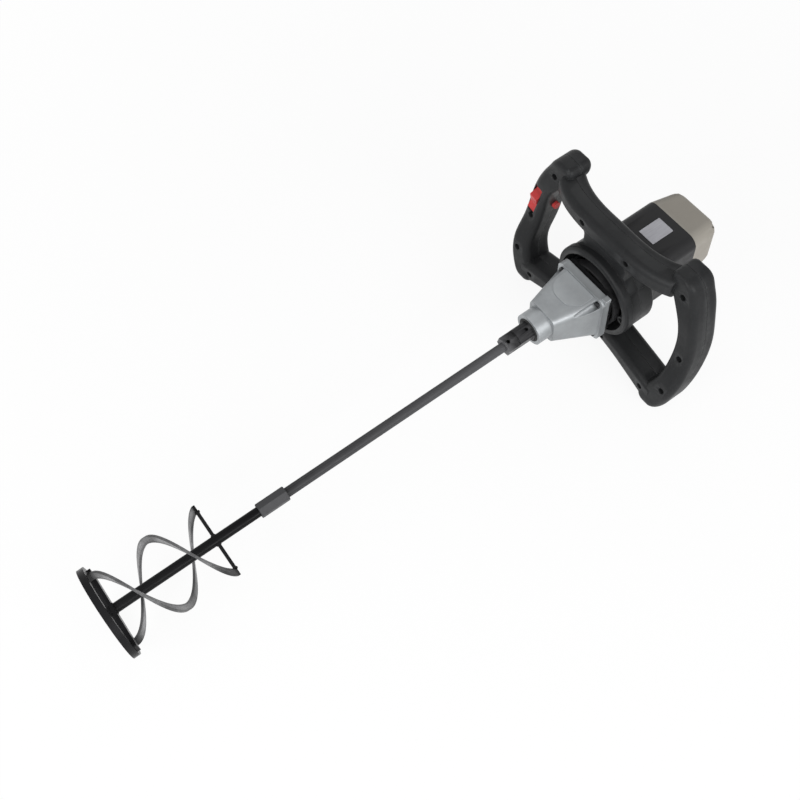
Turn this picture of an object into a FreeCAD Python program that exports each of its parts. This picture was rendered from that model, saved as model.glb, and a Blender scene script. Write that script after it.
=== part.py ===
"""Mixing drill with a butterfly handle frame, a two-stage gearbox and a screw-on mixing paddle.

Frame of reference: X runs along the spindle with the paddle at -X and the motor at +X,
Z points to the top beam of the frame, and the trigger handle is at +Y.
The origin is on the spindle axis at the front face of the gearbox neck.
"""
import FreeCAD, Part
import math
import os

import Sketcher
from FreeCAD import Placement, Rotation, Vector

# Driving dimensions in millimetres and degrees
DIMENSIONS = {
    # gearbox
    "axis_drop": 11.7, "neck_radius": 21.5, "neck_length": 20, "shoulder_half": "=neck_radius + 1.5",
    "shoulder_corner": 9, "body_half": 39, "body_corner": 13, "flange_half": 42, "flange_corner": 9,
    "flange_front": 80.5, "flange_rear": 91.5, "gear_screw_offset": 33.2, "gear_cavity_radius": 36.5,
    "gear_cavity_front": 73, "plate_thickness": 8, "case_pad_half": 25, "case_pad_length": 34,
    "case_pad_height": 0.4, "case_lug": 8, "groove_length": 34,
    # gear train
    "gear_module": 1, "gear_centre": 19, "motor_teeth": 7, "idler_teeth": 31,
    "idler_pinion_teeth": 9, "output_teeth": 29, "output_gear_x": 56, "output_gear_width": 14,
    "idler_gear_x": 76, "idler_gear_width": 10, "motor_pinion_x": 74, "motor_pinion_width": 14,
    "idler_x": 44, "pinion_well_x": 52,
    # spindle and paddle
    "spindle_radius": 13, "spindle_reach": 23, "spindle_flats": 22, "journal_radius": 7.5,
    "nut_flats": 22, "nut_length": 17, "rod_radius": 6.2, "stub_radius": 4.5, "stub_length": 18,
    "upper_rod_length": 320, "coupling_length": 38, "coupling_flats": 17,
    "lower_rod_length": 200, "arm_offset": 58, "arm_width": 9, "arm_thickness": 4,
    "ring_radius": 58, "ring_width": 9, "ring_height": 8, "foot_inset": 5.6, "bar_width": 18,
    "bar_angle": -2, "blade_radius": 48.5, "blade_width": 9,
    "blade_sink": 4, "blade_thickness": 3.4, "arm_reach": "=blade_radius - blade_width - 0.3",
    "paddle_angle": 14,
    # handle frame
    "collar_front": 102.5, "collar_radius": 65, "collar_inner": 56.5, "parting": 128, "seam": 0.15,
    "drum_rear": 150, "drum_wall": 4, "front_depth": 22, "rear_depth": 20, "beam_rear_depth": 13,
    "grip_rounding": 9, "grip_centre": 142, "grip_width": 30, "grip_parting": 145,
    "bar_bottom": 85.3, "bar_height": 28, "beam_top": 111.2, "beam_bottom": 81.3, "web_half": 37,
    "web_inset": 8,
    "screw_radius": 2, "screw_head_radius": 3.6, "screw_well_radius": 4.2, "boss_radius": 6.2,
    "screw_length": 22, "inlet_y": 124, "inlet_z": 76, "inlet_radius": 8,
    # motor
    "tube_radius": 46, "tube_wall": 3.5, "motor_half": 44, "motor_corner": 15, "motor_rear": 232,
    "stator_radius": 40, "stator_bore": 27.3, "stator_front": 146, "stator_tail": 26,
    "stator_length": "=motor_rear - stator_tail - stator_front",
    "rotor_radius": 26.5, "shaft_radius": 5, "fan_radius": 40.5, "fan_front": 108, "fan_width": 14,
    "commutator_radius": 13, "commutator_inset": 20, "commutator_length": 18,
    "commutator_front": "=motor_rear - commutator_inset", "cap_rounding": 10,
    "cap_length": 44, "cap_end_half": 39, "cap_cavity_depth": 24, "plate_label_length": 34,
    "plate_label_width": 26, "label_thickness": 0.5, "label_setback": 29,
    "label_centre": "=motor_rear - label_setback",
    # bearings
    "spindle_bearing_radius": 14, "rear_spindle_bearing_radius": 12, "bearing_width": 8,
    "armature_bearing_radius": 11, "idler_radius": 3, "bush_radius": 5, "front_bearing_x": 6,
    "rear_bearing_x": 40,
    # trigger handle
    "trigger_tilt": 12, "trigger_y": 140.5, "trigger_z": 34.5, "trigger_width": 13,
    "trigger_length": 52, "trigger_back": 135, "trigger_tip": 118.7, "pin_radius": 1.5,
    "button_radius": 5, "button_x": 144, "button_z": 23.6, "button_face": 119, "button_length": 11,
    "button_travel": 2.5,
    "switch_front": 142, "switch_depth": 15, "switch_width": 12, "switch_length": 40,
    # clearances
    "fit": 0.05, "gap": 0.3, "side_gap": 0.5,
}

doc = FreeCAD.newDocument("mixing_drill")
sheet = doc.addObject("Spreadsheet::Sheet", "sizes")
for row, (alias, number) in enumerate(DIMENSIONS.items(), start=1):
    sheet.set(f"A{row}", alias)
    sheet.set(f"B{row}", str(number))
    sheet.setAlias(f"B{row}", alias)
doc.recompute()


class Size:
    """A length with the sheet expression that gives it."""

    def __init__(self, value, text):
        self.value = value
        self.text = text

    def combined(self, other, sign, value):
        return Size(value, f"({self.text} {sign} {as_size(other).text})")

    def __add__(self, other):
        return self.combined(other, "+", self.value + as_size(other).value)

    def __sub__(self, other):
        return self.combined(other, "-", self.value - as_size(other).value)

    def __mul__(self, other):
        return self.combined(other, "*", self.value * as_size(other).value)

    def __truediv__(self, other):
        return self.combined(other, "/", self.value / as_size(other).value)

    def __neg__(self):
        return Size(-self.value, f"(0 - {self.text})")


def as_size(number):
    """A plain number as a Size."""
    return number if isinstance(number, Size) else Size(float(number), repr(float(number)))


def square_root(size):
    """The square root of a Size."""
    return Size(math.sqrt(size.value), f"sqrt({size.text})")


def arc_sine(size):
    """The angle in degrees whose sine is a Size."""
    return Size(math.degrees(math.asin(size.value)), f"(asin({size.text}) / 1 deg)")


class Sheet:
    """The sheet's cells as Size attributes."""

    def __getattr__(self, alias):
        return Size(float(sheet.get(alias)), f"sizes.{alias}")


S = Sheet()
SUB_PARTS = []
HEIGHTS = {}


def bind(thing, path, number):
    """Tie a property to the sheet."""
    thing.setExpression(path, as_size(number).text)


def place(thing, x=0, y=0, z=0, turn=None):
    """Put a sub-part at a point, turned about X by an angle in degrees."""
    for axis, number in (("x", x), ("y", y), ("z", z)):
        bind(thing, f"Placement.Base.{axis}", number)
    HEIGHTS[thing.Name] = as_size(z)
    if turn is not None:
        thing.Placement = Placement(Vector(), Rotation(Vector(1, 0, 0), as_size(turn).value))
        bind(thing, "Placement.Rotation.Angle", turn)


def lower(thing):
    """Move a sub-part that was drawn about the motor's axis to its place below the spindle's axis."""
    height = HEIGHTS.get(thing.Name, as_size(thing.Placement.Base.z))
    bind(thing, "Placement.Base.z", height - S.axis_drop)


def new_body(label):
    """An empty body that becomes one sub-part."""
    body = doc.addObject("PartDesign::Body", label)
    body.Label = label
    SUB_PARTS.append(body)
    return body


def origin_feature(body, role):
    """A plane or an axis of a body's own origin."""
    return next(f for f in body.Origin.OriginFeatures if f.Role == role)


def sketch_on(body, role, name, across=0, up=0, out=0, turn=None):
    """A sketch on one of the body's origin planes, moved in the plane and along its normal."""
    sketch = body.newObject("Sketcher::SketchObject", name)
    sketch.AttachmentSupport = [(origin_feature(body, role), "")]
    sketch.MapMode = "FlatFace"
    if turn is not None:
        sketch.AttachmentOffset = Placement(Vector(), Rotation(Vector(0, 0, 1), as_size(turn).value))
        bind(sketch, "AttachmentOffset.Rotation.Angle", turn)
    for axis, number in (("x", across), ("y", up), ("z", out)):
        bind(sketch, f"AttachmentOffset.Base.{axis}", number)
    return sketch


def fix_point(sketch, geometry, position, x, y, constraints, bound):
    """Hold a point at coordinates that follow the sheet."""
    for kind, axis, number in (("DistanceX", -2, x), ("DistanceY", -1, y)):
        size = as_size(number)
        if size.value == 0:
            constraints.append(Sketcher.Constraint("PointOnObject", geometry, position, axis))
        else:
            bound.append((len(constraints), size))
            constraints.append(Sketcher.Constraint(kind, -1, 1, geometry, position, size.value))


def finish_sketch(sketch, constraints, bound):
    """Add the constraints and tie their values to the sheet."""
    sketch.addConstraint(constraints)
    for index, size in bound:
        bind(sketch, f"Constraints[{index}]", size)


def outline(sketch, corners):
    """A closed outline through corners given as (x, y) or (x, y, rounding), anticlockwise."""
    corners = [tuple(as_size(n) for n in (c if len(c) == 3 else (*c, 0))) for c in corners]
    count = len(corners)
    points = [Vector(x.value, y.value, 0) for x, y, r in corners]
    enters, leaves, arcs = [], [], {}
    for i, (x, y, r) in enumerate(corners):
        back = (points[i - 1] - points[i]).normalize()
        ahead = (points[(i + 1) % count] - points[i]).normalize()
        half = back.getAngle(ahead) / 2
        reach = r.value / math.tan(half)
        enters.append(points[i] + back * reach)
        leaves.append(points[i] + ahead * reach)
        if r.value:
            centre = points[i] + (back + ahead).normalize() * (r.value / math.sin(half))
            left_turn = (points[i] - points[i - 1]).cross(points[(i + 1) % count] - points[i]).z > 0
            first, last = (enters[i], leaves[i]) if left_turn else (leaves[i], enters[i])
            start, stop = (math.atan2((p - centre).y, (p - centre).x) for p in (first, last))
            circle = Part.Circle(centre, Vector(0, 0, 1), r.value)
            stop += 2 * math.pi if stop < start else 0
            arcs[i] = (Part.ArcOfCircle(circle, start, stop), left_turn)
    constraints, bound = [], []
    for i in range(count):
        sketch.addGeometry(Part.LineSegment(leaves[i], enters[(i + 1) % count]))
    for i, (x, y, r) in enumerate(corners):
        before, after = (i - 1) % count, i
        if i in arcs:
            arc = sketch.addGeometry(arcs[i][0])
            near, far = (1, 2) if arcs[i][1] else (2, 1)
            constraints.append(Sketcher.Constraint("Tangent", before, 2, arc, near))
            constraints.append(Sketcher.Constraint("Tangent", after, 1, arc, far))
            bound.append((len(constraints), r))
            constraints.append(Sketcher.Constraint("Radius", arc, r.value))
            tip = sketch.addGeometry(Part.Point(points[i]), True)
            constraints.append(Sketcher.Constraint("PointOnObject", tip, 1, before))
            constraints.append(Sketcher.Constraint("PointOnObject", tip, 1, after))
            fix_point(sketch, tip, 1, x, y, constraints, bound)
        else:
            constraints.append(Sketcher.Constraint("Coincident", before, 2, after, 1))
            fix_point(sketch, after, 1, x, y, constraints, bound)
    finish_sketch(sketch, constraints, bound)


def circles(sketch, discs):
    """Circles given as (x, y, radius)."""
    constraints, bound = [], []
    for x, y, r in discs:
        x, y, r = as_size(x), as_size(y), as_size(r)
        centre = Vector(x.value, y.value, 0)
        ring = sketch.addGeometry(Part.Circle(centre, Vector(0, 0, 1), r.value))
        bound.append((len(constraints), r))
        constraints.append(Sketcher.Constraint("Radius", ring, r.value))
        fix_point(sketch, ring, 3, x, y, constraints, bound)
    finish_sketch(sketch, constraints, bound)


def box_corners(half_x, half_y, rounding=0):
    """The corners of a rectangle about the sketch's origin."""
    half_x, half_y = as_size(half_x), as_size(half_y)
    return [(half_x, half_y, rounding), (-half_x, half_y, rounding),
            (-half_x, -half_y, rounding), (half_x, -half_y, rounding)]


def feature(body, kind, sketch, length, backward=False):
    """A pad or pocket of a sketch; pads rise along the sketch's normal, pockets sink against it."""
    made = body.newObject(f"PartDesign::{kind}", f"{sketch.Name}_{kind.lower()}")
    made.Profile = sketch
    bind(made, "Length", length)
    made.Reversed = backward
    return made


def pad_x(body, name, start, length, draw, shapes, across=0, up=0, turn=None):
    """A solid of constant section along +X."""
    sketch = sketch_on(body, "YZ_Plane", name, across, up, start, turn)
    draw(sketch, shapes)
    return feature(body, "Pad", sketch, length)


def cut_x(body, name, start, length, draw, shapes, across=0, up=0, turn=None):
    """A cut of constant section that runs along +X from its start."""
    sketch = sketch_on(body, "YZ_Plane", name, across, up, start, turn)
    draw(sketch, shapes)
    return feature(body, "Pocket", sketch, length, backward=True)


def turned(body, name, profile, up=0, kind="Revolution"):
    """A solid or a Groove turned about a line along X from (x, radius) corners."""
    sketch = sketch_on(body, "XY_Plane", name, out=up)
    outline(sketch, profile)
    solid = body.newObject(f"PartDesign::{kind}", name + "_turned")
    solid.Profile = sketch
    solid.ReferenceAxis = (sketch, ["H_Axis"])
    solid.Angle = 360
    return solid


def lathe(label, start, profile, y=0, z=0):
    """A sub-part turned about its own axis along X, from (x, radius) corners."""
    body = new_body(label)
    turned(body, label + "_profile", profile)
    place(body, start, y, z)
    return body


def ring(label, start, length, outer, inner, y=0, z=0):
    """A plain ring about X."""
    corners = [(0, inner), (length, inner), (length, outer), (0, outer)]
    return lathe(label, start, corners, y, z)


def repeat_round(body, original, count):
    """Copies of a feature evenly round the X axis."""
    pattern = body.newObject("PartDesign::PolarPattern", original.Name + "_round")
    pattern.Originals = [original]
    pattern.Axis = (origin_feature(body, "X_Axis"), [""])
    pattern.Angle = 360
    bind(pattern, "Occurrences", count)
    body.Tip = pattern
    return pattern


def mirror_y(body, originals):
    """Copies of features on the other side of the middle plane."""
    made = body.newObject("PartDesign::Mirrored", originals[0].Name + "_mirrored")
    made.Originals = originals
    made.MirrorPlane = (origin_feature(body, "XZ_Plane"), [""])
    body.Tip = made
    return made


def hexagon(flats):
    """The corners of a hexagon given its width across flats, two flats square to the sketch's x."""
    half = flats / 2
    corner = flats / math.sqrt(3)
    return [(half, -corner / 2), (half, corner / 2), (0, corner),
            (-half, corner / 2), (-half, -corner / 2), (0, -corner)]


# Stations along X of the pieces on the spindle axis
SPINDLE_END = -S.spindle_reach
NUT_END = SPINDLE_END - S.nut_length
UPPER_ROD_END = NUT_END - S.upper_rod_length
COUPLING_END = UPPER_ROD_END - S.coupling_length
LOWER_ROD_END = COUPLING_END - S.lower_rod_length
RING_TOP = LOWER_ROD_END + S.foot_inset
BLADE_START = RING_TOP - S.blade_sink
ARM_FRONT = COUPLING_END - S.arm_offset - S.arm_thickness / 2
PLATE_REAR = S.flange_rear + S.plate_thickness
# The idler's axis, beside the motor's axis and at half the height of the spindle's axis
IDLER_Z = S.axis_drop / 2
IDLER_Y = -square_root(S.gear_centre * S.gear_centre - IDLER_Z * IDLER_Z)
IDLER_SWING = arc_sine(IDLER_Z / S.gear_centre)


def gearbox_housing():
    """Die-cast case: clamp neck above the motor's axis, flared body with a top pad, screwed flange."""
    body = new_body("gearbox_housing")
    flare_length = S.flange_front - S.neck_length
    turned(body, "case_neck", [(0, 0), (S.neck_length + 10, 0), (S.neck_length + 10, S.neck_radius),
                               (0, S.neck_radius)], up=S.axis_drop)
    front = sketch_on(body, "YZ_Plane", "case_front", up=S.axis_drop, out=S.neck_length)
    outline(front, box_corners(S.shoulder_half, S.shoulder_half, S.shoulder_corner))
    rear = sketch_on(body, "YZ_Plane", "case_rear", out=S.flange_front)
    outline(rear, box_corners(S.body_half, S.body_half, S.body_corner))
    loft_through(body, "case_flare", [front, rear])
    pad_x(body, "case_flange", S.flange_front, S.flange_rear - S.flange_front, outline,
          box_corners(S.flange_half, S.flange_half, S.flange_corner))
    slope = (S.body_half - S.shoulder_half - S.axis_drop) / flare_length * 0.6
    tilt = Size(-math.degrees(math.atan(slope.value)), f"0 deg - atan({slope.text})")
    pad = sketch_on(body, "XY_Plane", "case_top_pad")
    pad.AttachmentOffset = Placement(Vector(), Rotation(Vector(0, 1, 0), tilt.value))
    bind(pad, "AttachmentOffset.Rotation.Angle", tilt)
    bind(pad, "AttachmentOffset.Base.x", S.flange_front)
    pad_depth = S.gear_module * 4
    bind(pad, "AttachmentOffset.Base.z", S.body_half - pad_depth)
    pad_round = S.case_pad_half * 0.85
    outline(pad, [(0, -S.case_pad_half), (0, S.case_pad_half),
                  (-S.case_pad_length, S.case_pad_half, pad_round),
                  (-S.case_pad_length, -S.case_pad_half, pad_round)])
    feature(body, "Pad", pad, pad_depth + S.case_pad_height)
    pad_x(body, "case_lug", S.flange_rear - S.case_lug, S.case_lug, outline,
          box_corners(S.case_lug / 2, S.case_lug / 2, 1), across=-S.flange_half + S.case_lug / 3,
          up=S.flange_half - 1)
    cut_x(body, "case_screw_grooves", S.flange_front - S.groove_length, S.groove_length, circles,
          corner_spots(S.gear_screw_offset, S.screw_head_radius + 1.9))
    cut_x(body, "seal_recess", as_size(0), S.front_bearing_x, circles,
          [(0, 0, SEAL_RADIUS)], up=S.axis_drop)
    cut_x(body, "front_bearing_seat", as_size(0), S.front_bearing_x + S.bearing_width, circles,
          [(0, 0, S.spindle_bearing_radius)], up=S.axis_drop)
    cut_x(body, "spindle_bore", as_size(0), S.gear_cavity_front, circles,
          [(0, 0, S.journal_radius + 1.5)], up=S.axis_drop)
    cut_x(body, "rear_bearing_seat", S.rear_bearing_x, S.bearing_width + 4, circles,
          [(0, 0, S.rear_spindle_bearing_radius)], up=S.axis_drop)
    output_tip = S.gear_module * (S.output_teeth / 2 + 1.5)
    pinion_tip = S.gear_module * (S.idler_pinion_teeth / 2 + 3)
    cut_x(body, "output_gear_well", S.pinion_well_x, S.gear_cavity_front - S.pinion_well_x,
          circles, [(0, 0, output_tip)], up=S.axis_drop)
    cut_x(body, "idler_pinion_well", S.pinion_well_x, S.gear_cavity_front - S.pinion_well_x,
          circles, [(IDLER_Y, IDLER_Z, pinion_tip)])
    cut_x(body, "idler_bush_seat", S.idler_x, S.bearing_width, circles,
          [(IDLER_Y, IDLER_Z, S.bush_radius)])
    cut_x(body, "gear_cavity", S.gear_cavity_front, S.flange_rear - S.gear_cavity_front, circles,
          [(0, 0, S.gear_cavity_radius)])
    cut_x(body, "case_screw_holes", S.flange_front, S.flange_rear - S.flange_front, circles,
          corner_spots(S.gear_screw_offset, S.screw_radius + 0.7))


SEAL_RADIUS = S.spindle_bearing_radius + 2.5


def corner_spots(offset, radius):
    """Four holes or screws at the corners of a square about the axis."""
    return [(offset, offset, radius), (-offset, offset, radius),
            (-offset, -offset, radius), (offset, -offset, radius)]


def bearing_plate():
    """Plate between the gear case and the motor that carries the armature and the idler."""
    body = new_body("bearing_plate")
    pad_x(body, "plate_outline", S.flange_rear, S.plate_thickness, outline,
          box_corners(S.body_half, S.body_half, S.flange_corner))
    cut_x(body, "plate_bearing_seat", S.flange_rear, S.plate_thickness, circles,
          [(0, 0, S.armature_bearing_radius)])
    cut_x(body, "plate_bush_seat", S.flange_rear, S.plate_thickness, circles,
          [(IDLER_Y, IDLER_Z, S.bush_radius)])
    cut_x(body, "plate_screw_holes", S.flange_rear, S.plate_thickness, circles,
          corner_spots(S.gear_screw_offset, S.screw_radius + 0.5))


def gear(label, start, width, teeth, bore, turn, y=0, z=0):
    """A spur gear with straight-flanked teeth; its first tooth points along the turn angle."""
    body = new_body(label)
    pitch = S.gear_module * teeth / 2
    root = pitch - S.gear_module * 1.1
    tip = pitch + S.gear_module * 0.8
    turned(body, label + "_rim", [(0, bore), (width, bore), (width, root), (0, root)])
    foot = S.gear_module * 0.72
    crest = S.gear_module * 0.28
    inside = root - S.gear_module * 0.3
    tooth = pad_x(body, label + "_tooth", as_size(0), width, outline,
                  [(inside, -foot), (tip, -crest), (tip, crest), (inside, foot)])
    repeat_round(body, tooth, teeth)
    place(body, start, y, z, turn)
    return body


def gear_train():
    """Output gear on the spindle, idler cluster beside it and its two bushes."""
    gear("output_gear", S.output_gear_x, S.output_gear_width, S.output_teeth, S.journal_radius,
         IDLER_SWING + 180)
    gear("idler_pinion", S.output_gear_x - 2, S.idler_gear_x - S.output_gear_x + 1,
         S.idler_pinion_teeth, S.idler_radius, IDLER_SWING + as_size(180) / S.idler_pinion_teeth,
         IDLER_Y, IDLER_Z)
    gear("idler_gear", S.idler_gear_x, S.idler_gear_width, S.idler_teeth, S.idler_radius,
         as_size(180) / S.idler_teeth - IDLER_SWING, IDLER_Y, IDLER_Z)
    length = PLATE_REAR - S.idler_x - 1
    lathe("idler_shaft", S.idler_x, [(0, 0), (length, 0), (length, S.idler_radius),
                                     (0, S.idler_radius)], IDLER_Y, IDLER_Z)
    bush_inner = S.idler_radius + S.fit
    ring("idler_front_bush", S.idler_x, S.bearing_width, S.bush_radius, bush_inner, IDLER_Y, IDLER_Z)
    ring("idler_rear_bush", S.flange_rear, S.plate_thickness, S.bush_radius, bush_inner,
         IDLER_Y, IDLER_Z)


def spindle():
    """Output spindle: threaded socket with wrench flats and a locking hole, then the bearing journal."""
    body = new_body("output_spindle")
    head = S.spindle_reach + 5
    total = S.spindle_reach + S.output_gear_x + S.output_gear_width + 1
    turned(body, "spindle_profile", [(0, S.rod_radius), (S.spindle_reach + 2, S.rod_radius),
                                     (S.spindle_reach + 2, 0), (total, 0), (total, S.journal_radius),
                                     (head, S.journal_radius), (head, S.spindle_radius),
                                     (0, S.spindle_radius, 1)])
    for name, side in (("flat_left", 1), ("flat_right", -1)):
        cut_x(body, name, as_size(0), S.spindle_reach - 3, outline,
              box_corners(S.spindle_radius - S.spindle_flats / 2, S.spindle_radius),
              across=S.spindle_radius * side)
    hole = sketch_on(body, "XY_Plane", "locking_hole", across=S.spindle_reach - 7, out=S.spindle_radius)
    circles(hole, [(0, 0, 2.4)])
    feature(body, "Pocket", hole, as_size(4))
    place(body, SPINDLE_END, turn=S.paddle_angle)


def paddle_stud():
    """Hexagon collar of the paddle with the threaded stud that screws into the spindle."""
    body = new_body("paddle_nut")
    pad_x(body, "nut_hexagon", as_size(0), S.nut_length, outline, hexagon(S.nut_flats))
    pad_x(body, "nut_stud", S.nut_length, S.spindle_reach, circles, [(0, 0, S.rod_radius - S.fit)])
    hole = sketch_on(body, "XY_Plane", "nut_cross_hole", across=5, out=S.nut_flats)
    circles(hole, [(0, 0, 2.5)])
    feature(body, "Pocket", hole, S.nut_flats * 0.7)
    place(body, NUT_END, turn=S.paddle_angle)


def paddle_rods():
    """Upper and lower rods with stubs in the long hexagon coupling."""
    long_end = S.stub_length + S.upper_rod_length
    lathe("upper_rod", UPPER_ROD_END - S.stub_length,
          [(0, 0), (long_end, 0), (long_end, S.rod_radius), (S.stub_length, S.rod_radius),
           (S.stub_length, S.stub_radius), (0, S.stub_radius)])
    top = S.lower_rod_length + S.stub_length
    lathe("lower_rod", LOWER_ROD_END,
          [(0, 0), (top, 0), (top, S.stub_radius), (S.lower_rod_length, S.stub_radius),
           (S.lower_rod_length, S.rod_radius), (0, S.rod_radius)])
    body = new_body("hex_coupling")
    pad_x(body, "coupling_hexagon", as_size(0), S.coupling_length, outline, hexagon(S.coupling_flats))
    cone = sketch_on(body, "XY_Plane", "coupling_chamfers")
    corner = S.coupling_flats / math.sqrt(3) + 1
    flat = S.coupling_flats / 2 + 0.3
    bevel = (corner - flat) * 0.6
    outline(cone, [(-1, flat), (0, flat), (bevel, corner), (-1, corner)])
    chamfer = body.newObject("PartDesign::Groove", "coupling_lower_chamfer")
    chamfer.Profile = cone
    chamfer.ReferenceAxis = (cone, ["H_Axis"])
    upper = sketch_on(body, "XY_Plane", "coupling_upper", across=S.coupling_length)
    outline(upper, [(-bevel, corner), (0, flat), (1, flat), (1, corner)])
    upper_chamfer = body.newObject("PartDesign::Groove", "coupling_upper_chamfer")
    upper_chamfer.Profile = upper
    upper_chamfer.ReferenceAxis = (upper, ["H_Axis"])
    cut_x(body, "coupling_bore", as_size(0), S.coupling_length, circles, [(0, 0, S.stub_radius)])
    place(body, COUPLING_END, turn=S.paddle_angle)


def paddle_arm(label, extra_turn):
    """A short flat bar from the rod to the inner edge of a blade's top end."""
    body = new_body(label)
    half = S.arm_reach / 2
    pad_x(body, label + "_bar", as_size(0), S.arm_thickness, outline,
          box_corners(half, S.arm_width / 2, 2), across=half)
    cut_x(body, label + "_seat", as_size(0), S.arm_thickness, circles, [(0, 0, S.rod_radius)])
    place(body, ARM_FRONT, turn=S.paddle_angle + extra_turn)


def paddle_blade(label, extra_turn):
    """A flat strap wound one full turn on edge about the rod, from inside the ring to its arm."""
    body = new_body(label)
    section = sketch_on(body, "XY_Plane", label + "_section")
    inner = S.blade_radius - S.blade_width
    outline(section, [(0, inner), (S.blade_thickness, inner), (S.blade_thickness, S.blade_radius),
                      (0, S.blade_radius)])
    strap = body.newObject("PartDesign::AdditiveHelix", label + "_strap")
    strap.Profile = section
    strap.ReferenceAxis = (origin_feature(body, "X_Axis"), [""])
    strap.Mode = 1
    bind(strap, "Pitch", ARM_FRONT + (S.arm_thickness - S.blade_thickness) / 2 - BLADE_START)
    strap.Turns = 1
    place(body, BLADE_START, turn=S.paddle_angle + extra_turn)


def paddle_foot():
    """Bottom ring and the flat bar on top of it that carries the rod's lower end."""
    ring("bottom_ring", RING_TOP - S.ring_height, S.ring_height, S.ring_radius,
         S.ring_radius - S.ring_width)
    body = new_body("ring_cross_bar")
    reach = S.ring_radius - S.ring_width / 4
    pad_x(body, "cross_bar_section", as_size(0), S.arm_thickness, outline,
          box_corners(reach, S.bar_width / 2, 2))
    cut_x(body, "cross_bar_seat", as_size(0), S.arm_thickness, circles, [(0, 0, S.rod_radius)])
    place(body, RING_TOP, turn=S.bar_angle)


# Grip stations from the bottom corner up to the horn: height, outward shift of the middle,
# extra width, rearward shift of the parting line, share of the full rounding
GRIP_STATIONS = [(-105.5, -15.5, -21, -28.4, 0.4), (-103, -15.5, -15, -28.4, 0.7),
                 (-96.5, -16.1, 1, -28.4, 1), (-83.7, -13, 10, -27.4, 1), (-60.5, -4.4, 6, -24.9, 1),
                 (-39, 0.5, 1.5, -19.3, 1), (-14.3, 0.1, 0, -9, 1), (24.7, -3.5, -1, -1.1, 1),
                 (64.5, -13.1, 1.5, 1, 1), (88.4, -25, 9, 4, 0.9), (104.6, -33, 9.5, 5.5, 0.8),
                 (115, -36, 4, 5.5, 0.8), (120.4, -38, -6, 5, 0.65), (122.7, -39, -18, 4.5, 0.35)]
# Bottom bar stations on each side: distance from the middle, drop, extra height, parting shift
BAR_STATIONS = [(0, 0, 0, 0), (45, 2, 0, -2.6), (86, 7.2, 4, -7.3), (127, 18, 9, -10.4)]
# Top beam stations on each side: distance from the middle, parting shift, extra rear depth
BEAM_STATIONS = [(0, 2.5, 0), (45, 3.5, 0), (70, 6.8, 2), (100, 18, 7)]
# Frame screws on each side: name, distance from the middle, height, front of the head's seat
FRAME_SCREWS = [("horn", 114.5, 96.5, 141), ("grip", 141.2, 3.6, 132.5), ("corner", 142.7, -52.4, 113),
                ("bar", 111.1, -79.5, 109.5), ("beam", 38.8, 98, 123.5), ("collar", 52, -7, 114),
                ("middle", 26, -72.5, 114)]
WELL_START = as_size(90)


def both_sides(stations):
    """Stations from the far -Y side to the far +Y side."""
    return [(-y, *rest) for y, *rest in reversed(stations[1:])] + list(stations)


def half_section(sketch, depth, low, high, side, share=1, room=None):
    """A section of one shell: square at the parting line, rounded at its far corners.

    With room it is the space that the shell takes from the other one.
    """
    near = S.seam * side
    reach = depth * (1 + share) / 2
    if room is not None:
        near = as_size(0)
        reach = reach + room
        low = low - room
        high = high + room
    far = reach * side
    rounding = S.grip_rounding * share
    if side > 0:
        corners = [(near, low), (far, low, rounding), (far, high, rounding), (near, high)]
    else:
        corners = [(far, low, rounding), (near, low), (near, high), (far, high, rounding)]
    outline(sketch, corners)


def loft_through(body, name, sketches, kind="AdditiveLoft"):
    """A smooth solid or cut through sections."""
    made = body.newObject(f"PartDesign::{kind}", name)
    made.Profile = sketches[0]
    made.Sections = sketches[1:]
    return made


def loft_kind(room):
    """The kind of loft for a shell, or for the room it takes from the other one."""
    return "AdditiveLoft" if room is None else "SubtractiveLoft"


def grip_loft(body, name, depth, side, room=None):
    """One half of a grip from the bottom corner to the horn."""
    sections = []
    for number, (height, shift, extra, parting, share) in enumerate(GRIP_STATIONS):
        half = (S.grip_width + extra) / 2
        sketch = sketch_on(body, "XY_Plane", f"{name}_{number}", across=S.grip_parting + parting,
                           up=S.grip_centre + shift, out=as_size(height))
        half_section(sketch, depth, -half, half, side, share, room)
        sections.append(sketch)
    return loft_through(body, name, sections, loft_kind(room))


def bar_loft(body, name, depth, side, room=None):
    """One half of the bottom bar."""
    sections = []
    for number, (y, drop, extra, parting) in enumerate(both_sides(BAR_STATIONS)):
        sketch = sketch_on(body, "XZ_Plane", f"{name}_{number}", across=S.parting + parting,
                           up=-S.bar_bottom - drop, out=as_size(-y))
        half_section(sketch, depth, as_size(0), S.bar_height + extra, side, room=room)
        sections.append(sketch)
    return loft_through(body, name, sections, loft_kind(room))


def beam_loft(body, name, depth, side, room=None):
    """One half of the top beam."""
    sections = []
    for number, (y, parting, extra) in enumerate(both_sides(BEAM_STATIONS)):
        sketch = sketch_on(body, "XZ_Plane", f"{name}_{number}", across=S.parting + parting,
                           up=S.beam_bottom, out=as_size(-y))
        reach = depth + extra if side > 0 else depth
        half_section(sketch, reach, as_size(0), S.beam_top - S.beam_bottom, side, room=room)
        sections.append(sketch)
    return loft_through(body, name, sections, loft_kind(room))


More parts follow.
